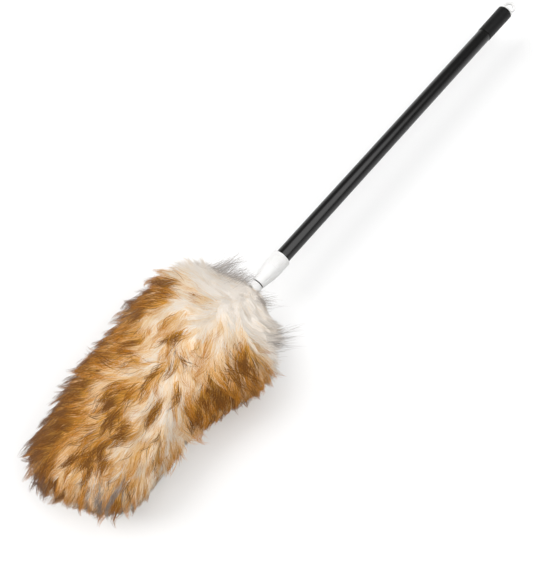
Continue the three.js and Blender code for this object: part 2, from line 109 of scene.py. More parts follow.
def mixColour(tree, factor, first, second):
    node = tree.nodes.new("ShaderNodeMix")
    node.data_type = "RGBA"
    colourA, colourB = [s for s in node.inputs if s.name in "AB" and s.type == "RGBA"]
    feed(tree, node.inputs[0], factor)
    feed(tree, colourA, first)
    feed(tree, colourB, second)
    return [s for s in node.outputs if s.type == "RGBA"][0]


# Materials

grainLook = {"patchDetail": 3.0, "patchRange": (0.3, 0.7), "fineDetail": 4.0, "fineRange": (0.25, 0.75)}
evenly = (1, 1, 1)


def newShader(name, sockets):
    material = bpy.data.materials.new(name)
    material.use_nodes = True
    tree = material.node_tree
    shader = tree.nodes["Principled BSDF"]
    for socket, value in sockets.items():
        shader.inputs[socket].default_value = value
    return material, tree, shader


def grain(tree, scale, detail, stretch=evenly):
    place = addNode(tree, "ShaderNodeTexCoord").outputs["Object"]
    turned = addNode(tree, "ShaderNodeMapping", {"Vector": place, "Scale": stretch}).outputs[0]
    feeds = {"Vector": turned, "Scale": scale, "Detail": detail}
    return addNode(tree, "ShaderNodeTexNoise", feeds).outputs["Fac"]


def addRelief(tree, shader, look, height):
    feeds = {"Strength": look["relief"], "Distance": look["reliefDepth"], "Height": height}
    feed(tree, shader.inputs["Normal"], addNode(tree, "ShaderNodeBump", feeds).outputs["Normal"])


def dress(tree, shader, look):
    # colour, gloss and relief, each from a grain of its own scale
    patches = grain(tree, look["patchScale"], grainLook["patchDetail"])
    patches = mapped(tree, patches, *grainLook["patchRange"])
    feed(tree, shader.inputs["Base Color"], mixColour(tree, patches, look["colourLow"], look["colourHigh"]))
    fine = grain(tree, look["fineScale"], grainLook["fineDetail"], look.get("stretch", evenly))
    feed(tree, shader.inputs["Roughness"], mapped(tree, fine, *grainLook["fineRange"], *look["roughness"]))
    addRelief(tree, shader, look, fine)


finishes = {
    "satinBlackPaint": {
        "colourLow": (0.0045, 0.0043, 0.0042, 1), "colourHigh": (0.0065, 0.0061, 0.0059, 1),
        "roughness": (0.14, 0.2), "patchScale": 38, "fineScale": 500, "relief": 0.04, "reliefDepth": 0.0001,
        "stretch": (0.35, 1, 1), "specular": 0.44,
    },
    "matteBlackSleeve": {
        "colourLow": (0.0035, 0.0034, 0.0034, 1), "colourHigh": (0.005, 0.0048, 0.0048, 1),
        "roughness": (0.38, 0.48), "patchScale": 60, "fineScale": 1500, "relief": 0.15, "reliefDepth": 0.0002,
        "specular": 0.22,
    },
    "whitePlastic": {
        "colourLow": (0.8, 0.795, 0.785, 1), "colourHigh": (0.85, 0.847, 0.84, 1),
        "roughness": (0.3, 0.42), "patchScale": 120, "fineScale": 1400, "relief": 0.06, "reliefDepth": 0.0001,
        "specular": 0.5,
    },
    "naturalPlastic": {
        "colourLow": (0.6, 0.56, 0.46, 1), "colourHigh": (0.7, 0.66, 0.57, 1),
        "roughness": (0.4, 0.55), "patchScale": 150, "fineScale": 1200, "relief": 0.1, "reliefDepth": 0.0001,
        "specular": 0.45,
    },
    "brushedSteel": {
        "colourLow": (0.5, 0.5, 0.51, 1), "colourHigh": (0.62, 0.62, 0.63, 1), "roughness": (0.25, 0.42),
        "patchScale": 200, "fineScale": 2500, "relief": 0.15, "reliefDepth": 0.0001,
        "stretch": (0.1, 1, 1), "specular": 0.5, "metallic": 1.0,
    },
    "tannedHide": {
        "colourLow": (0.5, 0.36, 0.22, 1), "colourHigh": (0.68, 0.54, 0.37, 1),
        "roughness": (0.7, 0.9), "patchScale": 70, "fineScale": 600, "relief": 0.5, "reliefDepth": 0.0006,
        "specular": 0.3,
    },
}


def makeFinish(name):
    look = finishes[name]
    sockets = {"Specular IOR Level": look["specular"], "Metallic": look.get("metallic", 0.0)}
    material, tree, shader = newShader(name, sockets)
    dress(tree, shader, look)
    return material


finish = {name: makeFinish(name) for name in finishes}

# the three greys at the end, for the loose fibres, are painted shade: cream wool drawn as grey as it looks
# against the light
woolColours = {
    "white": (0.94, 0.87, 0.79, 1), "cream": (0.87, 0.67, 0.43, 1), "golden": (0.56, 0.215, 0.012, 1),
    "brown": (0.19, 0.07, 0.009, 1), "amber": (0.73, 0.36, 0.05, 1), "ash": (0.36, 0.31, 0.28, 1),
    "darkBacklitShade": (0.2, 0.15, 0.115, 1), "backlitShadeRoot": (0.62, 0.55, 0.49, 1),
}
# between which tints a colour comes in, and where along a strand its tip or the painted shade of a loose
# fibre starts and is full
woolRanges = {
    "cream": (0.05, 0.45), "amber": (0.4, 0.9), "brown": (0.8, 1.0), "tipStart": (0.2, 1.0, 0.85, 0.05),
    "tipBlend": (0.0, 0.45), "tipStrength": (0.15, 0.5), "ash": (0.15, 0.6),
}
undercoatFinish = {"fibreScale": 700, "fibreDetail": 5.0, "relief": 0.7, "reliefDepth": 0.001}


def strandValue(tree, name):
    return addNode(tree, "ShaderNodeAttribute", attribute_name=name).outputs["Fac"]


def paleWool(tree, tint):
    # white, cream or amber, without the dark tips
    cream, amber = mapped(tree, tint, *woolRanges["cream"]), mapped(tree, tint, *woolRanges["amber"])
    pale = mixColour(tree, cream, woolColours["white"], woolColours["cream"])
    return mixColour(tree, amber, pale, woolColours["amber"])


def makeWoolFinish():
    # colour runs along each strand, from its root to its tip, and goes by the strand's own tint
    sockets = {"Roughness": 0.7, "Specular IOR Level": 0.2, "Sheen Weight": 0.15, "Sheen Roughness": 0.5}
    material, tree, shader = newShader("lambswool", sockets)
    along, tint = strandValue(tree, "along"), strandValue(tree, "tint")
    brown = mapped(tree, tint, *woolRanges["brown"])
    tip = mixColour(tree, brown, woolColours["golden"], woolColours["brown"])
    pastStart = calc(tree, "SUBTRACT", along, mapped(tree, tint, *woolRanges["tipStart"]))
    share = mapped(tree, pastStart, *woolRanges["tipBlend"], smooth=True)
    share = product(tree, share, mapped(tree, tint, *woolRanges["tipStrength"]))
    feed(tree, shader.inputs["Base Color"], mixColour(tree, share, paleWool(tree, tint), tip))
    return material


def makeUndercoatFinish():
    sockets = {"Roughness": 0.85, "Specular IOR Level": 0.15, "Sheen Weight": 0.2}
    material, tree, shader = newShader("woolUndercoat", sockets)
    feed(tree, shader.inputs["Base Color"], paleWool(tree, strandValue(tree, "ground")))
    fibres = grain(tree, undercoatFinish["fibreScale"], undercoatFinish["fibreDetail"])
    addRelief(tree, shader, undercoatFinish, fibres)
    return material


def makeStrayFinish():
    # loose fibres and tip hair are cream wool; this grey, darker towards each tip, is painted shade of fibres
    # seen against the light
    sockets = {"Roughness": 0.7, "Specular IOR Level": 0.2, "Sheen Weight": 0.1}
    material, tree, shader = newShader("strayFibres", sockets)
    ash = mixColour(tree, strandValue(tree, "tint"), woolColours["ash"], woolColours["darkBacklitShade"])
    share = mapped(tree, strandValue(tree, "along"), *woolRanges["ash"])
    feed(tree, shader.inputs["Base Color"], mixColour(tree, share, woolColours["backlitShadeRoot"], ash))
    return material


finish["lambswool"] = makeWoolFinish()
finish["woolUndercoat"] = makeUndercoatFinish()
finish["strayFibres"] = makeStrayFinish()
print("materials made:", len(finish))


# Meshes turned about the pole axis

def softCorners(corners, radius, steps=4, edgeShare=0.45):
    # rounds every inner corner of an open outline of (x, radius) points
    rounded = [corners[0]]
    for before, here, after in zip(corners, corners[1:], corners[2:]):
        here = Vector(here)
        into = Vector(before) - here
        away = Vector(after) - here
        reach = min(radius, into.length * edgeShare, away.length * edgeShare)
        start = here + into.normalized() * reach
        end = here + away.normalized() * reach
        for step in range(steps + 1):
            t = step / steps
            rounded.append(tuple((1 - t) ** 2 * start + 2 * t * (1 - t) * here + t * t * end))
    rounded.append(corners[-1])
    return rounded


def softRing(corners, radius):
    # the same for a closed outline, whose first point lies on a straight edge
    return softCorners([*corners, corners[0]], radius)[:-1]


def addObject(name, data):
    holder = bpy.data.objects.new(name, data)
    bpy.context.scene.collection.objects.link(holder)
    return holder


def addPiece(name, mesh, material=None):
    if material:
        mesh.materials.append(material)
    return addObject(name, mesh)


def toMesh(form, name):
    mesh = bpy.data.meshes.new(name)
    form.to_mesh(mesh)
    form.free()
    return mesh


def joinRings(form, rings):
    # faces from each ring to the next, and from the last back to the first
    for ring, following in zip(rings, rings[1:] + rings[:1]):
        for side, corner in enumerate(ring):
            ahead = (side + 1) % len(ring)
            form.faces.new((corner, ring[ahead], following[ahead], following[side]))


def turnedPiece(name, outline, material, sides=96, sharpAngle=40, mergeGap=1e-7):
    # a closed outline of (x, radius) in mm goes round the pole axis
    form = bmesh.new()
    rings = []
    for x, radius in outline:
        ring = []
        for side in range(sides):
            angle = fullTurn * side / sides
            ring.append(form.verts.new((x * mm, radius * mm * math.sin(angle),
                                        axisHeight + radius * mm * math.cos(angle))))
        rings.append(ring)
    joinRings(form, rings)
    bmesh.ops.remove_doubles(form, verts=form.verts, dist=mergeGap)
    bmesh.ops.recalc_face_normals(form, faces=form.faces)
    mesh = toMesh(form, name)
    mesh.shade_smooth()
    mesh.set_sharp_from_angle(angle=math.radians(sharpAngle))
    return addPiece(name, mesh, material)


def asPlainMesh(piece):
    # the evaluated shape becomes the piece's own mesh, with no modifier left
    graph = bpy.context.evaluated_depsgraph_get()
    mesh = bpy.data.meshes.new_from_object(piece.evaluated_get(graph), depsgraph=graph)
    piece.modifiers.clear()
    piece.data = mesh
    mesh.name = piece.name
    return piece


def settle(piece, body, slot, *nodes):
    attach(piece, body)
    if nodes:
        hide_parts(*nodes)
    return piece


def span(node):
    # ends along the pole and outer radius of a node, in mm
    low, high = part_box(node)
    return low.x / mm, high.x / mm, (high.z - low.z) / 2 / mm


# Geometry Nodes: what every tree starts and ends with

def newTree(name, counts, amounts, directions=()):
    tree = bpy.data.node_groups.new(name, "GeometryNodeTree")
    tree.interface.new_socket("Geometry", in_out="OUTPUT", socket_type="NodeSocketGeometry")
    for kind, inputs in {"Geometry": ["Geometry"], "Int": counts, "Float": amounts, "Vector": directions,
                         "Material": ["Material"]}.items():
        for label in inputs:
            tree.interface.new_socket(label, in_out="INPUT", socket_type="NodeSocket" + kind)
    return tree, addNode(tree, "NodeGroupInput").outputs


def closeTree(tree, shape, material):
    whole = geometry(tree, "RealizeInstances", {"Geometry": shape})
    done = geometry(tree, "SetMaterial", {"Geometry": whole, "Material": material})
    addNode(tree, "NodeGroupOutput", {"Geometry": done})
    return tree


def grow(piece, tree, inputs):
    # runs a tree on a piece, with its inputs set by identifier before the first evaluation
    modifier = piece.modifiers.new(tree.name, "NODES")
    modifier.node_group = tree
    for socket in tree.interface.items_tree:
        if socket.in_out == "INPUT" and socket.name in inputs:
            modifier[socket.identifier] = inputs[socket.name]
    return asPlainMesh(piece)


# Ribs round the pole, joined to the piece they stand on

ribForm = {"points": 14, "sides": 10, "taperFrom": 0.75, "endShare": 0.02}


def makeRibTree():
    amounts = ["Start", "End", "Radius", "Rib radius", "Axis height"]
    tree, given = newTree("ribsRoundPole", ["Count"], amounts)
    index = geometry(tree, "InputIndex")
    turn = product(tree, calc(tree, "DIVIDE", index, given["Count"]), fullTurn)
    outwards = vectorOf(tree, Y=calc(tree, "SINE", turn), Z=calc(tree, "COSINE", turn))
    place = moved(tree, vectorOf(tree, Z=given["Axis height"]), outwards, given["Radius"])
    seats = geometry(tree, "Points", {"Count": given["Count"], "Position": place})
    ends = {"Start": vectorOf(tree, X=given["Start"]), "End": vectorOf(tree, X=given["End"])}
    line = geometry(tree, "CurvePrimitiveLine", ends)
    line = geometry(tree, "ResampleCurve", {"Curve": line, "Count": ribForm["points"]})
    along = geometry(tree, "SplineParameter")
    fromMiddle = calc(tree, "ABSOLUTE", calc(tree, "SUBTRACT", product(tree, along, 2.0), 1.0))
    narrowed = mapped(tree, fromMiddle, ribForm["taperFrom"], 1.0, 1.0, ribForm["endShare"])
    taper = calc(tree, "SQRT", calc(tree, "MAXIMUM", narrowed, ribForm["endShare"]))
    circle = {"Resolution": ribForm["sides"], "Radius": 1.0}
    profile = geometry(tree, "CurvePrimitiveCircle", circle)
    feeds = {"Curve": line, "Profile Curve": profile, "Fill Caps": True,
             "Scale": product(tree, taper, given["Rib radius"])}
    rib = geometry(tree, "CurveToMesh", feeds)
    rib = geometry(tree, "SetShadeSmooth", {"Geometry": rib})
    placed = geometry(tree, "InstanceOnPoints", {"Points": seats, "Instance": rib})
    joined = tree.nodes.new("GeometryNodeJoinGeometry")
    tree.links.new(placed, joined.inputs[0])
    tree.links.new(given["Geometry"], joined.inputs[0])
    return closeTree(tree, joined.outputs[0], given["Material"])


ribTree = makeRibTree()


def addRibs(piece, look, startX, endX, body, material):
    radius = body - look["ribRadius"] + look["ribStand"]
    return grow(piece, ribTree, {
        "Count": look["ribCount"], "Start": startX * mm, "End": endX * mm, "Radius": radius * mm,
        "Rib radius": look["ribRadius"] * mm, "Axis height": axisHeight, "Material": material,
    })


# Pole: outer tube, inner tube and the sleeve at the hand end

poleLook = {
    "outerWall": 1.0, "innerWall": 0.9, "rim": 0.25, "sleeveGap": 0.15, "sleeveWall": 0.32,
    "sleeveRoll": 0.35, "sleeveFront": 3, "flareFrom": 14, "flareTo": 4, "flareRise": 0.12,
}


def tubeOutline(front, rear, radius, bore, edge):
    corners = [(front, (bore + radius) / 2), (front, radius), (rear, radius), (rear, bore), (front, bore)]
    return softRing(corners, edge)


def tubePiece(name, node, wall, material):
    front, rear, radius = span(node)
    return turnedPiece(name, tubeOutline(front, rear, radius, radius - wall, poleLook["rim"]), material)


outerTube = tubePiece("pole_outer_tube", "outer_tube", poleLook["outerWall"], finish["satinBlackPaint"])
settle(outerTube, "handle", "black_tube", "outer_tube")
innerTube = tubePiece("pole_inner_tube", "inner_tube", poleLook["innerWall"], finish["satinBlackPaint"])
settle(innerTube, "head", "black_tube", "inner_tube")


def makeEndSleeve():
    look = poleLook
    front, rear, rearRadius = span("end_grip")
    bore = span("outer_tube")[2] + look["sleeveGap"]
    frontRadius = bore + look["sleeveWall"]
    corners = [(front, (bore + frontRadius) / 2), (front, frontRadius),
               (front + look["sleeveFront"], frontRadius),
               (rear - look["flareFrom"], rearRadius - look["flareRise"]),
               (rear - look["flareTo"], rearRadius), (rear, rearRadius), (rear, bore), (front, bore)]
    return turnedPiece("hand_sleeve", softRing(corners, look["sleeveRoll"]), finish["matteBlackSleeve"])


settle(makeEndSleeve(), "handle", "black_grip", "end_grip")
print("pole made")


# End cap with its hanging loop

capLook = {
    "gap": 0.3, "flange": 3, "crown": 0.3, "crownRadius": 4.5, "axisGap": 0.01, "edge": 0.8,
    "stubRadius": 8.2, "stubWall": 2, "stubEdge": 0.4, "stubSides": 48, "loopBar": 4.6,
    "loopThickness": 4.2, "holeLength": 11, "holeWidth": 8.8, "loopSteps": 96, "loopSides": 24,
    "squareness": 0.7, "voxel": 0.22, "smoothing": 8, "softening": 0.5,
}


def squarish(value):
    return math.copysign(abs(value) ** capLook["squareness"], value)


def addLoop(form, centreX):
    # a bar with a rounded section goes round the hole
    look = capLook
    halfBar = look["loopBar"] / 2
    rings = []
    for step in range(look["loopSteps"]):
        turn = fullTurn * step / look["loopSteps"]
        ring = []
        for side in range(look["loopSides"]):
            around = fullTurn * side / look["loopSides"]
            across = squarish(math.cos(around)) * halfBar
            up = squarish(math.sin(around)) * look["loopThickness"] / 2
            x = centreX + (look["holeLength"] / 2 + halfBar + across) * math.cos(turn)
            y = (look["holeWidth"] / 2 + halfBar + across) * math.sin(turn)
            ring.append(form.verts.new((x * mm, y * mm, axisHeight + up * mm)))
        rings.append(ring)
    joinRings(form, rings)
    bmesh.ops.recalc_face_normals(form, faces=form.faces)


def makeEndCap():
    look = capLook
    rear, radius = span("end_cap")[1:]
    flangeX = span("outer_tube")[1] + look["gap"]
    faceX = flangeX + look["flange"]
    crownX = faceX + look["crown"]
    corners = [(flangeX, look["axisGap"]), (flangeX, radius), (faceX, radius), (crownX, look["crownRadius"]),
               (crownX, look["axisGap"])]
    cap = turnedPiece("end_cap_loop", softCorners(corners, look["edge"]), finish["whitePlastic"])
    form = bmesh.new()
    form.from_mesh(cap.data)
    addLoop(form, rear - look["loopBar"] - look["holeLength"] / 2)
    form.to_mesh(cap.data)
    form.free()
    remesh = cap.modifiers.new("fuse", "REMESH")
    remesh.mode = "VOXEL"
    remesh.voxel_size = look["voxel"] * mm
    remesh.use_smooth_shade = True
    soften = cap.modifiers.new("soften", "SMOOTH")
    soften.iterations = look["smoothing"]
    soften.factor = look["softening"]
    asPlainMesh(cap)
    cap.data.materials.clear()
    cap.data.materials.append(finish["whitePlastic"])
    return cap


def makeCapStub():
    front = span("end_cap")[0]
    rear = span("outer_tube")[1] + capLook["gap"]
    radius = capLook["stubRadius"]
    outline = tubeOutline(front, rear, radius, radius - capLook["stubWall"], capLook["stubEdge"])
    return turnedPiece("end_cap_stub", outline, finish["whitePlastic"], sides=capLook["stubSides"])


settle(makeEndCap(), "handle", "white_plastic", "end_cap")
settle(makeCapStub(), "handle", "white_plastic", "end_cap")
print("end cap made")


# Twist-lock collar

collarLook = {
    "frontRadius": 7.9, "taperLength": 24.3, "taperBulge": 0.35, "bulgeShares": (0.2, 0.4, 0.6, 0.8),
    "edge": 0.7, "landLength": 1.2, "stepLength": 0.4, "ribCount": 36, "ribRadius": 0.62, "ribStand": 0.3,
    "rimLength": 1.6, "rearBore": 9.85, "frontBore": 6.75, "seatX": 19.0, "seatLength": 5.6,
    "seatRadius": 8.75, "noseX": 8.3, "noseRadius": 7.35, "markLength": 9, "markWidth": 2.0,
    "markDepth": 1.1, "markSetBack": 5, "markTurn": 46, "markSides": 24, "markRings": 12,
}


def cutMark(collar, front):
    # a short groove with round ends, along the cone
    look = collarLook
    slope = math.atan2(span("lock_collar")[2] - look["frontRadius"], look["taperLength"])
    middle = look["markSetBack"] + look["markLength"] / 2
    surface = look["frontRadius"] + math.tan(slope) * middle
    form = bmesh.new()
    bmesh.ops.create_uvsphere(form, u_segments=look["markSides"], v_segments=look["markRings"], radius=1)
    halves = Vector((look["markLength"] / 2, look["markWidth"] / 2, look["markDepth"])) * mm
    tilt = Matrix.Rotation(-slope, 4, "Y")
    lift = Matrix.Translation(((front + middle) * mm, 0, surface * mm))
    turn = Matrix.Rotation(math.radians(look["markTurn"]), 4, "X")
    toAxis = Matrix.Translation((0, 0, axisHeight))
    form.transform(toAxis @ turn @ lift @ tilt @ Matrix.Diagonal((*halves, 1)))
    cutter = addPiece("mark_cutter", toMesh(form, "mark_cutter"))
    groove = collar.modifiers.new("mark", "BOOLEAN")
    groove.object = cutter
    groove.operation = "DIFFERENCE"
    groove.solver = "EXACT"
    asPlainMesh(collar)
    bpy.data.objects.remove(cutter)


def makeCollar():
    look = collarLook
    front, rear, radius = span("lock_collar")
    taper = front + look["taperLength"]
    body = radius - look["ribStand"]
    rise = radius - look["frontRadius"]
    cone = []
    for share in look["bulgeShares"]:
        bulge = look["taperBulge"] * math.sin(math.pi * share)
        cone.append((front + look["taperLength"] * share, look["frontRadius"] + rise * share + bulge))
    rim = rear - look["rimLength"]
    land = taper + look["landLength"]
    step = look["stepLength"]
    seat = front + look["seatX"]
    corners = [(front, (look["frontBore"] + look["frontRadius"]) / 2), (front, look["frontRadius"]), *cone,
               (taper, radius), (land, radius), (land + step, body), (rim - step, body), (rim, radius),
               (rear, radius), (rear, look["rearBore"]), (seat, look["rearBore"]),
               (seat - look["seatLength"], look["seatRadius"]), (front + look["noseX"], look["noseRadius"]),
               (front, look["frontBore"])]
    collar = turnedPiece("lock_collar_shell", softRing(corners, look["edge"]), finish["whitePlastic"])
    cutMark(collar, front)
    return addRibs(collar, look, taper + step, rim + step, body, finish["whitePlastic"])


settle(makeCollar(), "lock_collar", "white_plastic", "lock_collar")
print("collar made")


# Neck of the head

neckLook = {
    "radius": 7.65, "ribCount": 28, "ribRadius": 0.5, "ribStand": 0.34, "ribLength": 10.2, "ribEnd": 0.4,
    "rim": 0.9, "step": 0.3, "edge": 0.5, "bore": 6.65, "length": 26, "flangeRadius": 9.4,
    "flangeLength": 3, "spigotRadius": 7.7,
}


def makeNeck():
    look = neckLook
    front, rear = span("head_socket")[:2]
    radius, bore = look["radius"], look["bore"]
    body = radius - look["ribStand"]
    rim = rear - look["rim"]
    neckFront = rear - look["length"]
    flangeFront = neckFront - look["flangeLength"]
    corners = [(rear, (bore + radius) / 2), (rear, radius), (rim, radius), (rim - look["step"], body),
               (neckFront, body), (neckFront, look["flangeRadius"]), (flangeFront, look["flangeRadius"]),
               (flangeFront, look["spigotRadius"]), (front, look["spigotRadius"]), (front, bore),
               (rear, bore)]
    neck = turnedPiece("head_neck", softRing(corners, look["edge"]), finish["whitePlastic"])
    return addRibs(neck, look, rim - look["ribLength"], rear - look["ribEnd"], body, finish["whitePlastic"])


settle(makeNeck(), "head", "white_plastic", "head_socket")
print("neck made")


# CAD pieces that stay as they are and only get their finish

innerFinishes = {
    "threaded_sleeve": "whitePlastic", "sleeve_pin_left": "brushedSteel", "sleeve_pin_right": "brushedSteel",
    "clamp_ring": "naturalPlastic", "guide_bush": "naturalPlastic", "bush_clip": "brushedSteel",
    "tube_plug": "naturalPlastic", "socket_pin": "brushedSteel", "core_tube": "naturalPlastic",
    "core_plug": "naturalPlastic", "pelt_sleeve": "tannedHide", "neck_binding": "brushedSteel",
}
for node, innerFinish in innerFinishes.items():
    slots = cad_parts[node].data.materials
    slots.clear()
    slots.append(finish[innerFinish])
print("inner pieces finished:", len(innerFinishes))


# Wool head: an undercoat that holds the bulk, and strands in locks that follow a comb map

woolLook = {
    "inset": 5, "neckInset": 1, "rearInset": 2.5, "rearLength": 40, "tipInset": 11, "tipRound": 22,
    "tipShrink": 0.85, "rings": 110, "sides": 120, "castFrom": 200, "smoothing": 3, "softening": 0.5,
}


def smoothStep(low, high, value):
    share = min(1.0, max(0.0, (value - low) / (high - low)))
    return share * share * (3 - 2 * share)


def castWool():
    # the outside of the CAD wool, with its tufts, as rings of points from the neck end to the tip
    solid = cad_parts["wool_pile"].data
    faces = BVHTree.FromPolygons([v.co for v in solid.vertices], [f.vertices for f in solid.polygons])
    low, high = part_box("wool_pile")
    look = woolLook
    firstX, lastX = high.x - look["neckInset"] * mm, low.x + look["tipInset"] * mm
    grid = []
    for ring in range(look["rings"] + 1):
        x = firstX + (lastX - firstX) * ring / look["rings"]
        fromNeck = smoothStep(0, look["rearLength"], (firstX - x) / mm)
        inset = (look["rearInset"] + (look["inset"] - look["rearInset"]) * fromNeck) * mm
        toTip = max(0.0, 1 - (x - lastX) / (look["tipRound"] * mm))
        roundness = math.sqrt(1 - toTip ** 2 * look["tipShrink"])
        axis = Vector((x, 0, axisHeight))
        points = []
        for side in range(look["sides"]):
            angle = fullTurn * side / look["sides"]
            outwards = Vector((0, math.cos(angle), math.sin(angle)))
            hit = faces.ray_cast(axis + outwards * look["castFrom"] * mm, -outwards)[0]
            points.append(axis + outwards * ((hit - axis).length - inset) * roundness)
        grid.append(points)
    return grid


def makeUndercoat(grid):
    form = bmesh.new()
    sides = len(grid[0])
    corners = [[form.verts.new(point) for point in points] for points in grid]
    for ring, following in zip(corners, corners[1:]):
        for side in range(sides):
            ahead = (side + 1) % sides
            form.faces.new((ring[side], following[side], following[ahead], ring[ahead]))
    for ring in (corners[0], corners[-1]):
        middle = form.verts.new(sum((v.co for v in ring), Vector()) / sides)
        for side in range(sides):
            form.faces.new((ring[side], ring[(side + 1) % sides], middle))
    allWays = {"use_axis_x": True, "use_axis_y": True, "use_axis_z": True}
    for _ in range(woolLook["smoothing"]):
        bmesh.ops.smooth_vert(form, verts=form.verts, factor=woolLook["softening"], **allWays)
    bmesh.ops.recalc_face_normals(form, faces=form.faces)
    mesh = toMesh(form, "wool_undercoat")
    mesh.shade_smooth()
    return addPiece("wool_undercoat", mesh, finish["woolUndercoat"])


woolGrid = castWool()
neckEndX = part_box("wool_pile")[1].x

combLook = {
    "spineWidth": 16, "leanLeft": 0.95, "leanRight": 0.0, "leanGrowth": 1.1, "leanRange": (50, 280),
    "frontFan": 1.8, "frontFanRange": (0.15, 0.7), "rearFan": 1.0, "rearFanRange": (0.3, 0.8),
    "stand": 0.65, "lift": 0.16, "liftSpread": 0.2, "liftShift": (3, 5, 7), "rearLift": 0.45, "swirl": 80,
    "swirlScale": 52, "curl": 60, "curlShare": 2.3, "calm": 0.7, "calmSpread": 1.2, "topLength": 28,
    "leftLength": 33, "rightLength": 8, "rearLength": 24, "lengthSpread": 0.2, "lengthShift": (8, 1, 6),
    "rearReach": 0.55, "rearReachRange": (20, 62), "underReach": 0.5, "frontReach": -0.05,
    # how far a face turns up, down, to the neck or to the tip to count as such, and mm beside the neck
    "onTop": (0.2, 0.8), "underneath": (-0.2, -0.7), "atRear": (0.2, 0.7), "atFront": (0.2, 0.8),
    "beside": (18, 45),
}
tintLook = {
    "ground": 0.25, "least": 0.03, "most": 0.97, "tipShare": 0.85, "fringe": 12, "leftStrength": 0.47,
    "leftEdge": (0.44, 0.8), "leftRange": (20, 70), "rightStrength": 0.45, "rightEdge": (0.3, 0.9),
    "rightRange": (40, 200), "rightBlend": 40, "frontBrownAndShade": 0.2, "frontBrownAndShadeRange": (190, 290),
    "neckStrength": 0.28, "neckRange": (45, 105), "patchStrength": 0.42, "patchScale": 30,
    "patchShift": (9, 4, 2), "patchEdge": (0.12, 0.5), "patchRange": (50, 120), "tuftStretch": 1.4,
    "tuftHeight": (60, 90), "underShare": 0.4, "underHeight": (4, 30),
    # tufts with dark tips, and golden areas: from the neck end, across to the left, size, strength
    "tufts": [
        (81, 70, 12, 0.5), (62, 48, 9, 0.4), (67, 28, 10, 0.42), (147, 39, 13, 0.35), (134, 8, 11, 0.95),
        (176, 0, 12, 0.9), (146, -20, 10, 0.85), (117, -29, 9, 0.45), (88, -66, 15, 0.32),
        (112, -74, 14, 0.2), (144, -56, 13, 0.25), (157, -66, 12, 0.35), (215, 16, 15, 0.75),
        (238, 4, 14, 0.7), (286, -4, 15, 0.6), (225, -48, 9, 0.7), (249, -42, 11, 0.45),
        (267, -65, 14, 0.3), (197, -7, 8, 0.75), (117, 26, 8, 0.5), (175, -38, 7, 0.7),
        (200, -26, 7, 0.7),
    ],
    "areas": [(225, 38, 34, 0.15), (270, 22, 34, 0.18)],
}


def onMap(point):
    # how far from the neck end, and how far across to the left, in mm
    return (neckEndX - point.x) / mm, point.y / mm


def edgesAt(along):
    # half-widths of the wool to the left and right, in mm
    ring = round(along * mm / (woolGrid[0][0].x - woolGrid[-1][0].x) * (len(woolGrid) - 1))
    points = woolGrid[min(max(ring, 0), len(woolGrid) - 1)]
    return max(p.y for p in points) / mm, -min(p.y for p in points) / mm


def tuftStrength(along, across, tuft, spread=1.0):
    # from 1 in the middle of a tuft to 0 around it; tufts are longer than wide
    tuftAlong, tuftAcross, size = tuft[:3]
    stretch = tintLook["tuftStretch"]
    gap = math.hypot((along - tuftAlong) / stretch, (across - tuftAcross) * stretch)
    return math.exp(-(gap / (size * spread)) ** 2)


def combAt(point, normal):
    # which way the hair lies, and how long it is
    look = combLook
    along, across = onMap(point)
    side = across / (abs(across) + look["spineWidth"])
    toLeft = (side + 1) / 2
    beside = smoothStep(*look["beside"], abs(across))
    onTop = smoothStep(*look["onTop"], normal.z)
    atRear = smoothStep(*look["atRear"], normal.x)
    lean = look["leanRight"] + (look["leanLeft"] - look["leanRight"]) * toLeft
    lean += look["leanGrowth"] * smoothStep(*look["leanRange"], along)
    lean += look["frontFan"] * smoothStep(*look["frontFanRange"], -normal.x)
    lean -= look["rearFan"] * smoothStep(*look["rearFanRange"], normal.x) * beside
    level = Vector((-lean, side, 0.0)).normalized()
    place = point / (look["swirlScale"] * mm)
    finePlace = place * look["curlShare"]
    turn = look["swirl"] * noise.noise(place) + look["curl"] * noise.noise(finePlace)
    for tuft in tintLook["tufts"]:
        turn *= 1 - look["calm"] * tuftStrength(along, across, tuft, look["calmSpread"])
    level.rotate(Matrix.Rotation(math.radians(turn) * onTop, 3, "Z"))
    lying = (level - normal * level.dot(normal)).normalized()
    flow = level * look["stand"] + lying * (1 - look["stand"])
    lift = look["lift"] + look["liftSpread"] * noise.noise(finePlace + Vector(look["liftShift"]))
    lift += look["rearLift"] * atRear * beside
    flow += normal * max(0.0, lift - flow.dot(normal))
    sideLength = look["rightLength"] + (look["leftLength"] - look["rightLength"]) * toLeft
    sideLength += (look["rearLength"] - sideLength) * atRear
    length = sideLength + (look["topLength"] - sideLength) * onTop
    length *= 1 + look["lengthSpread"] * noise.noise(finePlace + Vector(look["lengthShift"]))
    fromNeck = smoothStep(*look["rearReachRange"], math.hypot(along, across))
    length *= look["rearReach"] + (1 - look["rearReach"]) * fromNeck
    length *= 1 + (look["underReach"] - 1) * smoothStep(*look["underneath"], normal.z)
    length *= 1 + look["frontReach"] * smoothStep(*look["atFront"], -normal.x)
    return flow.normalized(), length * mm


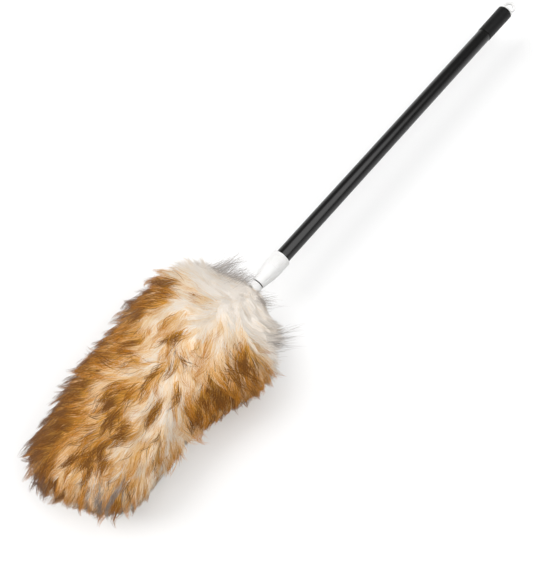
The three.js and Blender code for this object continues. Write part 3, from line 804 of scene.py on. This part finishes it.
def tintAt(tip):
    # how brown the tip of a lock is, by where it lies
    look = tintLook
    along, across = onMap(tip)
    height = tip.z / mm
    left, right = edgesAt(along)
    tint = look["ground"]
    toLeft = smoothStep(*look["leftEdge"], across / (left + look["fringe"]))
    tint += look["leftStrength"] * toLeft * smoothStep(*look["leftRange"], along)
    toRight = smoothStep(*look["rightEdge"], -across / (right + look["fringe"]))
    start, end = look["rightRange"]
    blend = look["rightBlend"]
    within = smoothStep(0, blend, along - start) * smoothStep(0, blend, end - along)
    tint += look["rightStrength"] * toRight * within
    # browner towards the tip end: partly the wool's own brown there, partly painted shade of the darker front
    tint += look["frontBrownAndShade"] * smoothStep(*look["frontBrownAndShadeRange"], along)
    tint -= look["neckStrength"] * (1 - smoothStep(*look["neckRange"], along))
    patch = noise.noise(tip / (look["patchScale"] * mm) + Vector(look["patchShift"]))
    inPatch = smoothStep(*look["patchEdge"], patch) * smoothStep(*look["patchRange"], along)
    tint += look["patchStrength"] * inPatch
    onTop = smoothStep(*look["tuftHeight"], height)
    for tuft in look["tufts"] + look["areas"]:
        tint += tuft[3] * tuftStrength(along, across, tuft) * onTop
    share = look["underShare"] + (1 - look["underShare"]) * smoothStep(*look["underHeight"], height)
    tint = look["ground"] + (tint - look["ground"]) * share
    return min(look["most"], max(look["least"], tint))


def addAttribute(mesh, name, kind, key, values):
    attribute = mesh.attributes.new(name, kind, "POINT")
    attribute.data.foreach_set(key, values)


def combUndercoat(undercoat):
    mesh = undercoat.data
    combs, reaches, tints, grounds = [], [], [], []
    for vertex in mesh.vertices:
        flow, length = combAt(vertex.co, vertex.normal)
        combs.extend(flow)
        reaches.append(length)
        tints.append(tintAt(vertex.co + flow * length * tintLook["tipShare"]))
        grounds.append(tintAt(vertex.co))
    addAttribute(mesh, "comb", "FLOAT_VECTOR", "vector", combs)
    for name, values in {"reach": reaches, "tint": tints, "ground": grounds}.items():
        addAttribute(mesh, name, "FLOAT", "value", values)
    return tints


undercoat = makeUndercoat(woolGrid)
woolTints = combUndercoat(undercoat)
settle(undercoat, "head", "wool", "wool_pile")
print("undercoat combed:", len(undercoat.data.vertices), "points")


# Geometry Nodes: strands on the undercoat, gathered into locks

strandForm = {
    "mostGuides": 1e6, "darkLocks": (0.7, 1.0), "drawnTints": (0.1, 0.7), "drawnShares": (0.25, 1.0),
    "lineLength": 10, "waveTurn": 4.5, "sides": 3, "bluntness": 1.03, "taperPower": 0.6,
    "mapAlong": (0.01, 0.99), "mapTint": (0.01, 0.97), "cornerStep": 0.008,
}
lockAmounts = (
    "Density", "Section start", "Section end", "Lock spacing", "Gather", "Root radius", "Rise", "Sag",
    "Wave", "Frizz", "Lock turn", "Length spread", "Tint shift", "Tint spread", "Dark locks", "Reach",
    "Floor", "Side limit", "Soft light", "Stand up",
)
direction = "FLOAT_VECTOR"


def named(tree, name, kind="FLOAT"):
    return geometry(tree, "InputNamedAttribute", {"Name": name}, data_type=kind)


def store(tree, shape, name, value, kind="FLOAT", domain="POINT"):
    feeds = {"Geometry": shape, "Name": name, "Value": value}
    return geometry(tree, "StoreNamedAttribute", feeds, data_type=kind, domain=domain)


def sampled(tree, points, value, index, kind="FLOAT"):
    feeds = {"Geometry": points, "Value": value, "Index": index}
    return geometry(tree, "SampleIndex", feeds, data_type=kind, domain="POINT")


def randomVector(tree, identity, seed, shift):
    node = addNode(tree, "FunctionNodeRandomValue", {}, data_type=direction)
    low, high = [s for s in node.inputs if s.type == "VECTOR"][:2]
    low.default_value = (-1, -1, -1)
    high.default_value = (1, 1, 1)
    feed(tree, node.inputs["ID"], identity)
    feed(tree, node.inputs["Seed"], calc(tree, "ADD", seed, shift))
    return [s for s in node.outputs if s.type == "VECTOR"][0]


def plantRoots(tree, given):
    # one guide point for each lock, and the roots of this section, which carry what their lock gives them
    place = geometry(tree, "InputPosition")
    index = geometry(tree, "InputIndex")
    feeds = {"Mesh": given["Geometry"], "Distance Min": given["Lock spacing"],
             "Density Max": strandForm["mostGuides"], "Density Factor": 1.0, "Seed": given["Seed"]}
    scatter = addNode(tree, "GeometryNodeDistributePointsOnFaces", feeds, distribute_method="POISSON")
    guides, guideUp = scatter.outputs["Points"], scatter.outputs["Normal"]
    placeX = partsOf(tree, place)["X"]
    inside = product(tree, calc(tree, "GREATER_THAN", placeX, given["Section start"]),
                     calc(tree, "LESS_THAN", placeX, given["Section end"]))
    feeds = {"Mesh": given["Geometry"], "Selection": inside, "Seed": calc(tree, "ADD", given["Seed"], 1),
             "Density": product(tree, given["Density"], named(tree, "thick"))}
    roots = addNode(tree, "GeometryNodeDistributePointsOnFaces", feeds).outputs["Points"]
    feeds = {"Geometry": guides, "Sample Position": place}
    lock = geometry(tree, "SampleNearest", feeds, domain="POINT")
    lockUp = sampled(tree, guides, guideUp, lock, direction)
    lockShake = randomVector(tree, lock, given["Seed"], 2)
    shake = randomVector(tree, index, given["Seed"], 3)
    lockParts, shakeParts = partsOf(tree, lockShake), partsOf(tree, shake)
    comb = sampled(tree, guides, named(tree, "comb", direction), lock, direction)
    comb = moved(tree, comb, lockShake, given["Lock turn"])
    comb = moved(tree, comb, lockUp, given["Stand up"])
    comb = calcVector(tree, "NORMALIZE", calcVector(tree, "ADD", comb, given["Lean"]))
    shortest = calc(tree, "SUBTRACT", 1.0, given["Length spread"])
    length = product(tree, sampled(tree, guides, named(tree, "reach"), lock),
                     mapped(tree, shakeParts["X"], -1.0, 1.0, shortest, 1.0), given["Reach"])
    stray = product(tree, calc(tree, "ADD", shakeParts["Y"], lockParts["X"]), given["Tint spread"])
    dark = product(tree, mapped(tree, lockParts["Z"], *strandForm["darkLocks"]), given["Dark locks"])
    tint = sampled(tree, guides, named(tree, "tint"), lock)
    for change in (stray, dark, given["Tint shift"]):
        tint = calc(tree, "ADD", tint, change)
    tint = calc(tree, "MINIMUM", calc(tree, "MAXIMUM", tint, 0.0), 1.0)
    lockRoot = sampled(tree, guides, place, lock, direction)
    for name, value in {"rootAt": place, "lockRoot": lockRoot, "lockUp": lockUp, "lockComb": comb,
                        "shake": shake}.items():
        roots = store(tree, roots, name, value, direction)
    for name, value in {"wavePhase": lockParts["Y"], "strandLength": length, "tint": tint}.items():
        roots = store(tree, roots, name, value)
    return roots


def bendStrands(tree, given, roots):
    # a line on every root, drawn into its lock, arched, sagging and wavy, kept off the floor
    form = strandForm
    line = geometry(tree, "CurvePrimitiveLine", {"End": (0, 0, form["lineLength"] * mm)})
    line = geometry(tree, "ResampleCurve", {"Curve": line, "Count": given["Points"]})
    strands = geometry(tree, "InstanceOnPoints", {"Points": roots, "Instance": line})
    strands = geometry(tree, "RealizeInstances", {"Geometry": strands})
    along = geometry(tree, "SplineParameter")
    strands = store(tree, strands, "along", along)
    squared = calc(tree, "POWER", along, 2.0)
    root, lockRoot, comb, up, shake = [named(tree, name, direction) for name in
                                       ("rootAt", "lockRoot", "lockComb", "lockUp", "shake")]
    size = named(tree, "strandLength")
    drawn = mapped(tree, named(tree, "tint"), *form["drawnTints"], *form["drawnShares"])
    drawn = product(tree, given["Gather"], drawn, squared)
    path = moved(tree, root, calcVector(tree, "SUBTRACT", lockRoot, root), drawn)
    path = moved(tree, path, comb, product(tree, size, along))
    arch = product(tree, calc(tree, "SUBTRACT", 1.0, along), along, 4.0, size, given["Rise"])
    path = moved(tree, path, up, arch)
    path = moved(tree, path, vectorOf(tree, Z=-1.0), product(tree, squared, size, given["Sag"]))
    phase = product(tree, named(tree, "wavePhase"), math.pi)
    bend = calc(tree, "SINE", calc(tree, "ADD", product(tree, along, form["waveTurn"]), phase))
    bend = product(tree, bend, along, size, given["Wave"])
    path = moved(tree, path, calcVector(tree, "CROSS_PRODUCT", comb, up), bend)
    path = moved(tree, path, shake, product(tree, squared, size, given["Frizz"]))
    parts = partsOf(tree, path)
    sideways = calc(tree, "MINIMUM", calc(tree, "ABSOLUTE", parts["Y"]), given["Side limit"])
    sideways = product(tree, sideways, calc(tree, "SIGN", parts["Y"]))
    raised = calc(tree, "MAXIMUM", parts["Z"], given["Floor"])
    kept = vectorOf(tree, X=parts["X"], Y=sideways, Z=raised)
    return geometry(tree, "SetPosition", {"Geometry": strands, "Position": kept})


def thickenStrands(tree, given, strands):
    # a three-sided, pointed strand on every line, with its own map: along the strand, and its tint
    form = strandForm
    along = geometry(tree, "SplineParameter")
    circle = {"Resolution": form["sides"], "Radius": 1.0}
    profile = geometry(tree, "CurvePrimitiveCircle", circle)
    profile = store(tree, profile, "corner", geometry(tree, "InputIndex"))
    taper = calc(tree, "POWER", calc(tree, "SUBTRACT", form["bluntness"], along), form["taperPower"])
    feeds = {"Curve": strands, "Profile Curve": profile, "Scale": product(tree, taper, given["Root radius"])}
    fur = geometry(tree, "CurveToMesh", feeds)
    mapU = mapped(tree, named(tree, "along"), 0.0, 1.0, *form["mapAlong"])
    mapV = mapped(tree, named(tree, "tint"), 0.0, 1.0, *form["mapTint"])
    mapV = calc(tree, "ADD", mapV, product(tree, named(tree, "corner"), form["cornerStep"]))
    fur = store(tree, fur, "OFBake", vectorOf(tree, X=mapU, Y=mapV), "FLOAT2", "CORNER")
    fur = geometry(tree, "SetShadeSmooth", {"Geometry": fur})
    own = geometry(tree, "InputNormal")
    lit = scaled(tree, own, calc(tree, "SUBTRACT", 1.0, given["Soft light"]))
    lit = moved(tree, lit, named(tree, "lockUp", direction), given["Soft light"])
    feeds = {"Mesh": fur, "Custom Normal": calcVector(tree, "NORMALIZE", lit)}
    return geometry(tree, "SetMeshNormal", feeds, mode="FREE", domain="POINT")


def makeLockTree():
    tree, given = newTree("woolLocks", ["Points", "Seed"], lockAmounts, ["Lean"])
    strands = bendStrands(tree, given, plantRoots(tree, given))
    return closeTree(tree, thickenStrands(tree, given, strands), given["Material"])


lockTree = makeLockTree()


# Kinds of strands, and where they grow

strandLook = {
    "sections": 1, "points": 6, "rise": 0.1, "sag": 0.08, "lean": (0, 0, 0), "tintShift": 0.0,
    "darkLocks": 0.0,
}
lockLook = {
    **strandLook, "name": "wool_locks", "sections": 7, "strands": 50000, "points": 5, "seed": 11,
    "lockSpacing": 5, "rootRadius": 0.26, "gather": 0.6, "rise": 0.05, "sag": 0.12, "wave": 0.1,
    "frizz": 0.08, "lockTurn": 0.2, "standUp": 0.0, "reach": 1.0, "lengthSpread": 0.4, "tintShift": -0.1,
    "tintSpread": 0.18, "darkLocks": 0.15,
}
streakLook = {
    **strandLook, "name": "wool_streaks", "sections": 3, "strands": 12000, "seed": 37,
    "lockSpacing": 10.5, "rootRadius": 0.3, "gather": 0.93, "wave": 0.16, "frizz": 0.06, "lockTurn": 0.3,
    "standUp": 0.03, "reach": 1.35, "lengthSpread": 0.35, "tintShift": 0.12, "tintSpread": 0.18,
    "darkLocks": 0.25, "tintRange": (0.22, 0.6),
}
strokeLook = {
    **strandLook, "name": "wool_strokes", "strands": 3000, "points": 7, "seed": 53, "lockSpacing": 8.5,
    "rootRadius": 0.4, "gather": 0.7, "rise": 0.14, "wave": 0.22, "frizz": 0.12, "lockTurn": 0.22,
    "standUp": 0.1, "reach": 1.1, "lengthSpread": 0.4, "tintShift": 0.42, "tintSpread": 0.15,
    "tintRange": (0.5, 0.85),
}
strayLook = {
    **strandLook, "name": "wool_strays", "strands": 700, "seed": 23, "lockSpacing": 12,
    "rootRadius": 0.14, "gather": 0.6, "sag": 0.05, "wave": 0.2, "frizz": 0.25, "lockTurn": 0.4,
    "lean": (2.6, -2.2, 0.0), "standUp": 0.2, "reach": 1.7, "lengthSpread": 0.7, "tintSpread": 0.3,
    # places of the loose fibres: from the neck end, across to the left, size
    "wisps": [(5, 20, 10), (10, 36, 12), (18, 50, 9), (40, -60, 8), (10, -18, 5)],
}
tipLook = {
    **strandLook, "name": "wool_tip", "strands": 1500, "seed": 71, "lockSpacing": 9, "rootRadius": 0.2,
    "gather": 0.8, "rise": 0.08, "wave": 0.14, "frizz": 0.08, "lockTurn": 0.25, "lean": (-0.3, 0, 0),
    "standUp": 0.12, "reach": 1.15, "lengthSpread": 0.4, "tintSpread": 0.2,
    # place of the hair at the tip, drawn in the painted grey shade of the loose fibres
    "wisps": [(285, -45, 15)],
}
coverLook = {
    "underShare": 0.45, "underRange": (0.0, -0.6), "wispRange": (-0.5, 0.1), "floor": 1.2,
    "sideLimit": 102, "softLight": 0.65,
}
inMillimetres = ("lockSpacing", "rootRadius", "floor", "sideLimit")
combLow = min(v.co.x for v in undercoat.data.vertices)
combHigh = max(v.co.x for v in undercoat.data.vertices)
helperAttributes = ("rootAt", "lockRoot", "lockUp", "lockComb", "shake", "wavePhase", "strandLength", "comb",
                    "reach", "thick", "ground", "corner")


def thickness(vertex):
    # fewer strands on the underside, which the floor hides
    return 1 + (coverLook["underShare"] - 1) * smoothStep(*coverLook["underRange"], vertex.normal.z)


def streakiness(vertex, tint, look):
    return thickness(vertex) * smoothStep(*look["tintRange"], tint)


def wispiness(vertex, look):
    along, across = onMap(vertex.co)
    gaps = [math.hypot(along - wispAlong, across - wispAcross) / size
            for wispAlong, wispAcross, size in look["wisps"]]
    return math.exp(-min(gaps) ** 2) * smoothStep(*coverLook["wispRange"], vertex.normal.z)


def thickArea(thick):
    # the undercoat's area, each face weighed by how thickly it is covered
    return sum(face.area * sum(thick[v] for v in face.vertices) / len(face.vertices)
               for face in undercoat.data.polygons)


def treeInputs(look):
    # the setting lockSpacing, say, feeds the tree's input Lock spacing
    inputs = {}
    for key, value in look.items():
        label = "".join(" " + letter.lower() if letter.isupper() else letter for letter in key).capitalize()
        inputs[label] = value * mm if key in inMillimetres else value
    return inputs


def growSection(name, look, startX, endX, thick, material):
    piece = addPiece(name, undercoat.data.copy())
    piece.data.materials.clear()
    addAttribute(piece.data, "thick", "FLOAT", "value", thick)
    grow(piece, lockTree, {
        **treeInputs(look), **treeInputs(coverLook), "Density": look["strands"] / thickArea(thick),
        "Section start": startX, "Section end": endX, "Material": material,
    })
    for attribute in [a.name for a in piece.data.attributes if a.name in helperAttributes]:
        piece.data.attributes.remove(piece.data.attributes[attribute])
    settle(piece, "head", "wool", "wool_pile")
    piece.visible_shadow = False        # wool lets light through: the undercoat alone casts its shadow
    return sum(len(face.vertices) - 2 for face in piece.data.polygons)


def growWool(look, thick, material):
    sectionLength = (combHigh - combLow) / look["sections"]
    for section in range(look["sections"]):
        startX = combLow + section * sectionLength
        name = f"{look['name']}_{section + 1}"
        triangles = growSection(name, look, startX, startX + sectionLength, thick, material)
        print(name, "triangles:", triangles)


woolPoints = undercoat.data.vertices
growWool(lockLook, [thickness(v) for v in woolPoints], finish["lambswool"])
for look in (streakLook, strokeLook):
    thick = [streakiness(v, tint, look) for v, tint in zip(woolPoints, woolTints)]
    growWool(look, thick, finish["lambswool"])
# loose fibres at the rear and hair at the tip, in painted grey shade
for look in (strayLook, tipLook):
    growWool(look, [wispiness(v, look) for v in woolPoints], finish["strayFibres"])
print("wool grown")


# Floor, light and camera

stageLook = {
    "floorHalf": 9.0, "floorColour": (0.8, 0.8, 0.8, 1), "floorGlow": 0.17, "keyLevel": 1.5, "keyAngle": 36,
    "keyFrom": (-0.25, 0.62, 0.75), "ceilingLevel": 0.18, "horizonLow": 0.2, "horizonHigh": 0.5,
    # soft box overhead: its tilt and half-width along and across the pole, in radians
    "boxLevel": 2.3, "boxTilt": (0.1, -0.28), "boxHalf": (0.48, 0.8), "boxEdge": (0.75, 1.2),
}
cameraLook = {
    "azimuth": -50.5, "elevation": 65.6, "lens": 67.1, "sensor": 36, "distance": 1.256,
    "aim": (-0.09375, -0.0054, 0.0484),
}


def seenRays(tree):
    rays = addNode(tree, "ShaderNodeLightPath").outputs
    seen = calc(tree, "MAXIMUM", rays["Is Camera Ray"], rays["Is Glossy Ray"])
    return calc(tree, "MAXIMUM", seen, rays["Is Transmission Ray"])


def makeFloor():
    half = stageLook["floorHalf"]
    mesh = bpy.data.meshes.new("floor")
    corners = [(-half, -half, 0), (half, -half, 0), (half, half, 0), (-half, half, 0)]
    mesh.from_pydata(corners, [], [(0, 1, 2, 3)])
    material = bpy.data.materials.new("paleFloor")
    material.use_nodes = True
    tree = material.node_tree
    tree.nodes.clear()
    matte = addNode(tree, "ShaderNodeBsdfDiffuse", {"Color": stageLook["floorColour"]})
    level = product(tree, seenRays(tree), stageLook["floorGlow"])
    glow = addNode(tree, "ShaderNodeEmission", {"Strength": level})
    both = addNode(tree, "ShaderNodeAddShader", {0: matte.outputs[0], 1: glow.outputs[0]})
    addNode(tree, "ShaderNodeOutputMaterial", {"Surface": both.outputs[0]})
    addPiece("floor", mesh, material)


def makeWorld():
    # a soft box in a dim ceiling, over a white horizon
    look = stageLook
    world = bpy.data.worlds.new("studio")
    bpy.context.scene.world = world
    world.use_nodes = True
    tree = world.node_tree
    way = partsOf(tree, addNode(tree, "ShaderNodeTexCoord").outputs["Generated"])
    gaps = []
    for axis, tilt, half in zip("XY", look["boxTilt"], look["boxHalf"]):
        lean = calc(tree, "SUBTRACT", calc(tree, "ARCTAN2", way[axis], way["Z"]), tilt)
        gaps.append(calc(tree, "POWER", calc(tree, "DIVIDE", lean, half), 2.0))
    gap = calc(tree, "SQRT", calc(tree, "ADD", *gaps))
    box = mapped(tree, gap, *look["boxEdge"], look["boxLevel"], 0.0, smooth=True)
    horizon = mapped(tree, way["Z"], look["horizonLow"], look["horizonHigh"], 1.0, 0.0, smooth=True)
    horizon = product(tree, horizon, seenRays(tree))
    level = calc(tree, "MAXIMUM", calc(tree, "ADD", box, look["ceilingLevel"]), horizon)
    feed(tree, tree.nodes["Background"].inputs["Color"], (1, 1, 1, 1))
    feed(tree, tree.nodes["Background"].inputs["Strength"], level)


def aimed(holder, place, way):
    holder.location = place
    holder.rotation_euler = way.to_track_quat("-Z", "Y").to_euler()
    return holder


def makeSun(name, place, level, angle):
    lamp = bpy.data.lights.new(name, "SUN")
    lamp.energy = level
    lamp.angle = math.radians(angle)
    aimed(addObject(name, lamp), place, -Vector(place))


def makeCamera():
    look = cameraLook
    turn, rise = math.radians(look["azimuth"]), math.radians(look["elevation"])
    back = Vector((math.sin(turn) * math.cos(rise), -math.cos(turn) * math.cos(rise), math.sin(rise)))
    camera = bpy.data.cameras.new("photo_camera")
    camera.lens = look["lens"]
    camera.sensor_width = look["sensor"]
    place = Vector(look["aim"]) + back * look["distance"]
    bpy.context.scene.camera = aimed(addObject("photo_camera", camera), place, -back)


makeFloor()
makeWorld()
makeSun("key", stageLook["keyFrom"], stageLook["keyLevel"], stageLook["keyAngle"])
makeCamera()
bpy.context.scene.view_settings.view_transform = "Standard"
print("stage made")
